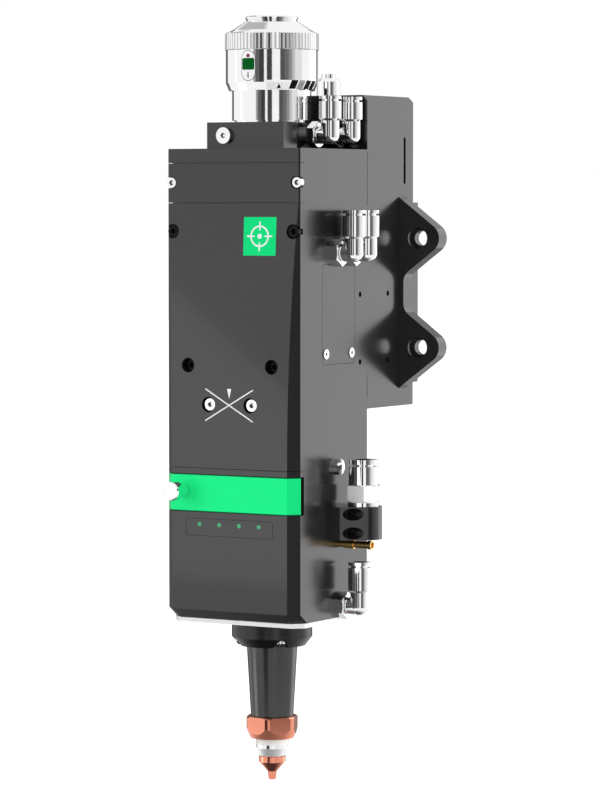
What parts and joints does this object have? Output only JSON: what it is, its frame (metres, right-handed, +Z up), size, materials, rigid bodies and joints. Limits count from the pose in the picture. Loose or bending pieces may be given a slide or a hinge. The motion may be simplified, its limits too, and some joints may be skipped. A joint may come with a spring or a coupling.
{
  "type": "laser cutting head",
  "caption": "Upright laser cutting head: tall box housing with a lens drawer, fibre socket on top, push-in elbows at the side and a slim nozzle below.",
  "frame": {"origin": "centre of the four mounting holes, on the rear face of the ears", "axes": "+X to the right seen from the front, +Y back into the machine, +Z up along the beam"},
  "size_m": [0.1454, 0.1565, 0.4546],
  "materials": {
    "housing_grey": "satin anodised, dark grey",
    "rear_black": "black",
    "ear_black": "black",
    "chrome": "mirror bright",
    "steel": "bright steel",
    "black_steel": "blackened",
    "signal_green": "satin",
    "emblem_green": "satin",
    "drawer_black": "black anodised",
    "copper": "polished copper",
    "brass": "plain brass",
    "ceramic": "white ceramic",
    "glass": "clear optical glass",
    "motor_black": "black",
    "seal": "matt",
    "light": "clear green"
  },
  "bodies": {
    "housing": {"main_housing": "housing_grey", "top_band": "housing_grey", "front_cover": "housing_grey", "emblem_plate": "emblem_green", "side_cover": "housing_grey", "rear_housing": "housing_grey", "cable_gland": "chrome", "collimation_block": "housing_grey", "collar_base": "chrome", "collar_sleeve": "chrome", "base_plate": "steel", "sensor_collar": "black_steel", "nozzle_cone": "black_steel", "ceramic_ring": "ceramic", "nozzle_seat": "chrome", "elbow_stems": "chrome", "gas_block": "black_steel", "gas_fitting": "chrome", "sensor_connector": "brass", "guide_rails": "steel", "drive_motor": "motor_black", "screw_bearing": "housing_grey", "centring_frame": "housing_grey", "entry_window": "glass", "black_cap_screws": "black_steel", "band_screws": "steel", "button_screws": "steel", "side_cover_screws": "steel", "collar_screws": "steel", "status_lights": "light"},
    "hand_wheel": {"hand_wheel": "chrome"},
    "drawer": {"drawer_front": "signal_green", "drawer_tray": "drawer_black", "protective_window": "glass", "window_seal": "seal"},
    "knob": {"drawer_knob": "chrome"},
    "lead_screw": {"lead_screw": "steel"},
    "carriage": {"lens_carriage": "housing_grey", "collimating_lens": "glass", "carriage_ring": "black_steel", "carriage_nut": "brass"},
    "lower_slide": {"lower_slide": "steel"},
    "upper_slide": {"upper_slide": "steel", "focusing_lens": "glass", "focus_ring": "black_steel"},
    "adjuster_left": {"adjuster_left": "steel"},
    "adjuster_right": {"adjuster_right": "steel"},
    "lock_ring": {"lock_ring": "copper"},
    "nozzle": {"nozzle": "copper"},
    "release_gas": {"release_gas": "chrome"},
    "elbow_top_front": {"elbow_top_front": "chrome"},
    "release_top_front": {"release_top_front": "chrome"},
    "elbow_top_back": {"elbow_top_back": "chrome"},
    "release_top_back": {"release_top_back": "chrome"},
    "elbow_side_front": {"elbow_side_front": "chrome"},
    "release_side_front": {"release_side_front": "chrome"},
    "elbow_side_back": {"elbow_side_back": "chrome"},
    "release_side_back": {"release_side_back": "chrome"},
    "elbow_low": {"elbow_low": "chrome"},
    "release_low": {"release_low": "chrome"}
  },
  "joints": [
    {"name": "hand_wheel_turn", "type": "hinge", "parent": "housing", "child": "hand_wheel", "pos_m": [0, -0.0845, 0.15], "axis": [0, 0, 1], "range_deg": [0, 60]},
    {"name": "drawer_slide", "type": "slide", "parent": "housing", "child": "drawer", "axis": [0, -1, 0], "range_m": [0, 0.06]},
    {"name": "knob_turn", "type": "hinge", "parent": "drawer", "child": "knob", "pos_m": [-0.0316, -0.14, -0.1144], "axis": [0, 1, 0], "continuous": true},
    {"name": "lead_screw_turn", "type": "hinge", "parent": "housing", "child": "lead_screw", "pos_m": [0, -0.021, 0.02], "axis": [0, 0, 1], "range_deg": [-1988, 1988]},
    {"name": "carriage_slide", "type": "slide", "parent": "housing", "child": "carriage", "axis": [0, 0, 1], "range_m": [-0.011, 0.011]},
    {"name": "adjuster_left_turn", "type": "hinge", "parent": "housing", "child": "adjuster_left", "pos_m": [-0.0142, -0.12, -0.0636], "axis": [0, 1, 0], "range_deg": [-1535, 1535]},
    {"name": "adjuster_right_turn", "type": "hinge", "parent": "housing", "child": "adjuster_right", "pos_m": [0.0142, -0.12, -0.0636], "axis": [0, 1, 0], "range_deg": [-1535, 1535]},
    {"name": "lower_slide_move", "type": "slide", "parent": "housing", "child": "lower_slide", "axis": [0.7071, 0.7071, 0], "range_m": [-0.0015, 0.0015]},
    {"name": "upper_slide_move", "type": "slide", "parent": "lower_slide", "child": "upper_slide", "axis": [-0.7071, 0.7071, 0], "range_m": [-0.0015, 0.0015]},
    {"name": "lock_ring_turn", "type": "hinge", "parent": "housing", "child": "lock_ring", "pos_m": [0, -0.0845, -0.258], "axis": [0, 0, 1], "continuous": true},
    {"name": "nozzle_turn", "type": "hinge", "parent": "housing", "child": "nozzle", "pos_m": [0, -0.0845, -0.278], "axis": [0, 0, 1], "continuous": true},
    {"name": "release_gas_press", "type": "slide", "parent": "housing", "child": "release_gas", "axis": [0, 0, -1], "range_m": [0, 0.001], "stiffness_N_per_m": 300, "springref_m": -0.0005},
    {"name": "elbow_top_front_swivel", "type": "hinge", "parent": "housing", "child": "elbow_top_front", "pos_m": [0.0386, -0.0825, 0.0942], "axis": [1, 0, 0], "range_deg": [-8, 90]},
    {"name": "release_top_front_press", "type": "slide", "parent": "elbow_top_front", "child": "release_top_front", "axis": [0, 0, -1], "range_m": [0, 0.001], "stiffness_N_per_m": 300, "springref_m": -0.0005},
    {"name": "elbow_top_back_swivel", "type": "hinge", "parent": "housing", "child": "elbow_top_back", "pos_m": [0.0386, -0.057, 0.0942], "axis": [1, 0, 0], "range_deg": [0, 20]},
    {"name": "release_top_back_press", "type": "slide", "parent": "elbow_top_back", "child": "release_top_back", "axis": [0, 0, -1], "range_m": [0, 0.001], "stiffness_N_per_m": 300, "springref_m": -0.0005},
    {"name": "elbow_side_front_swivel", "type": "hinge", "parent": "housing", "child": "elbow_side_front", "pos_m": [0.0572, -0.0867, 0.025], "axis": [1, 0, 0], "range_deg": [-3, 180]},
    {"name": "release_side_front_press", "type": "slide", "parent": "elbow_side_front", "child": "release_side_front", "axis": [0, 0, -1], "range_m": [0, 0.001], "stiffness_N_per_m": 300, "springref_m": -0.0005},
    {"name": "elbow_side_back_swivel", "type": "hinge", "parent": "housing", "child": "elbow_side_back", "pos_m": [0.0572, -0.0698, 0.025], "axis": [1, 0, 0], "range_deg": [-180, 3]},
    {"name": "release_side_back_press", "type": "slide", "parent": "elbow_side_back", "child": "release_side_back", "axis": [0, 0, -1], "range_m": [0, 0.001], "stiffness_N_per_m": 300, "springref_m": -0.0005},
    {"name": "elbow_low_swivel", "type": "hinge", "parent": "housing", "child": "elbow_low", "pos_m": [0.0572, -0.08, -0.18345], "axis": [1, 0, 0], "continuous": true},
    {"name": "release_low_press", "type": "slide", "parent": "elbow_low", "child": "release_low", "axis": [0, 0, -1], "range_m": [0, 0.001], "stiffness_N_per_m": 300, "springref_m": -0.0005}
  ],
  "couplings": [
    {"joint": "lead_screw_turn", "follows": "carriage_slide", "rad_per_m": 3141.6},
    {"joint": "adjuster_left_turn", "follows": "lower_slide_move", "rad_per_m": 17772},
    {"joint": "adjuster_right_turn", "follows": "upper_slide_move", "rad_per_m": 17772}
  ]
}
